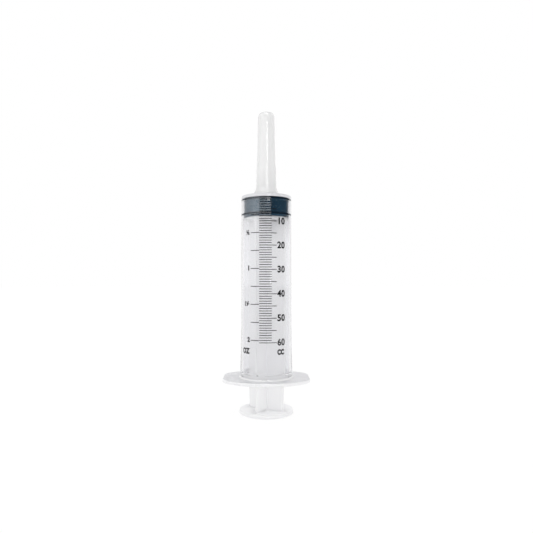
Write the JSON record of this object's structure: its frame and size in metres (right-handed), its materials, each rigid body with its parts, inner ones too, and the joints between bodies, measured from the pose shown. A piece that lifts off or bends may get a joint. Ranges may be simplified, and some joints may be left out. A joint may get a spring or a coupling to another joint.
{
  "type": "catheter tip syringe",
  "caption": "Large disposable syringe with a long tapered catheter tip under a push-on cap, finger flange, cross-ribbed plunger with thumb rest, and rubber stopper.",
  "frame": {"origin": "middle of the underside of the thumb rest, on the syringe's axis", "axes": "+Z along the axis from the thumb rest to the tip, +X across the finger grips, -Y the side with the printed scale"},
  "size_m": [0.0546, 0.045, 0.1918],
  "materials": {
    "clear_barrel": "clear moulded polypropylene, polished inside and out",
    "scale_ink": "black printed ink",
    "stopper_rubber": "slate blue-grey moulded rubber, smooth and slightly oily",
    "white_rod": "translucent white moulded polypropylene",
    "white_cap": "translucent white moulded polyethylene"
  },
  "bodies": {
    "barrel": {"barrel": "clear_barrel", "ml_scale_lines": "scale_ink", "oz_scale_lines": "scale_ink"},
    "stopper": {"stopper": "stopper_rubber"},
    "plunger": {"plunger_rod": "white_rod"},
    "cap": {"tip_cap": "white_cap"}
  },
  "joints": [
    {"name": "plunger_slide", "type": "slide", "parent": "barrel", "child": "stopper", "axis": [0, 0, -1], "range_m": [0, 0.097]},
    {"name": "rod_turn", "type": "hinge", "parent": "stopper", "child": "plunger", "pos_m": [0, 0, 0.1234], "axis": [0, 0, 1], "continuous": true},
    {"name": "cap_slide", "type": "slide", "parent": "barrel", "child": "cap", "axis": [0, 0, 1], "range_m": [0, 0.045]}
  ]
}
